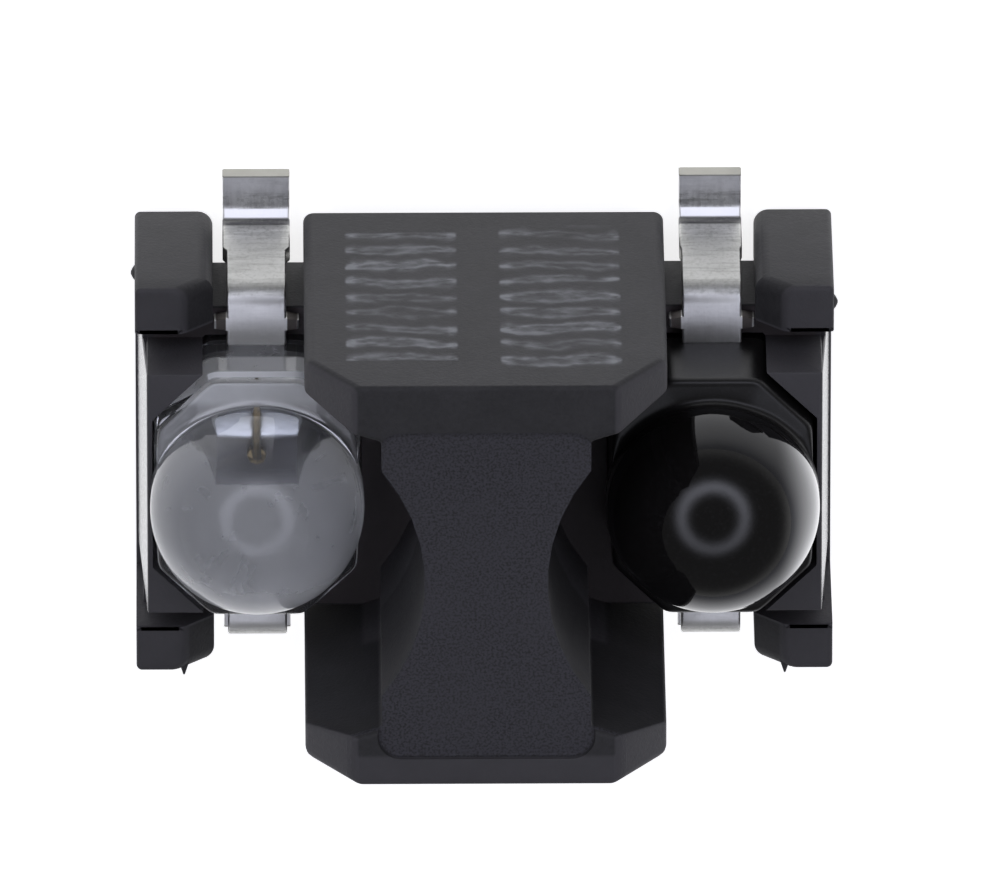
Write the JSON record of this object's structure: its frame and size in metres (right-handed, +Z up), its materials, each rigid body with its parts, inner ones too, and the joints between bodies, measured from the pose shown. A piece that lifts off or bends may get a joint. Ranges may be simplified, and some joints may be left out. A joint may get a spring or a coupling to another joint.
{
  "type": "reflective optical sensor",
  "caption": "Surface-mount reflective sensor: a clear infrared emitter and a dark photodiode side by side in a black holder with a waisted light barrier.",
  "frame": {"origin": "middle of the outline on the board plane, under the solder feet", "axes": "+Z up from the board, the way both lenses look; +X from the emitter to the detector; +Y towards the marked side wall of the centre block"},
  "size_m": [0.006, 0.0044, 0.0037],
  "materials": {
    "holder_plastic": "matte black moulded thermoplastic",
    "clear_epoxy": "water-clear moulded epoxy, glossy",
    "daylight_filter_epoxy": "black daylight-blocking epoxy, glossy",
    "tinned_lead": "copper alloy strip with bright tin plating",
    "die_attach": "cured silver die-attach layer",
    "gold_wire": "gold bond wire",
    "emitter_chip": "dark semiconductor chip",
    "silicon_chip": "polished silicon chip"
  },
  "bodies": {
    "root": {"holder": "holder_plastic", "emitter_package": "clear_epoxy", "emitter_cathode_lead": "tinned_lead", "emitter_anode_lead": "tinned_lead", "emitter_chip": "emitter_chip", "emitter_die_attach": "die_attach", "emitter_bond_wire": "gold_wire", "detector_package": "daylight_filter_epoxy", "detector_cathode_lead": "tinned_lead", "detector_anode_lead": "tinned_lead", "detector_chip": "silicon_chip", "detector_die_attach": "die_attach", "detector_bond_wire": "gold_wire"}
  },
  "joints": []
}
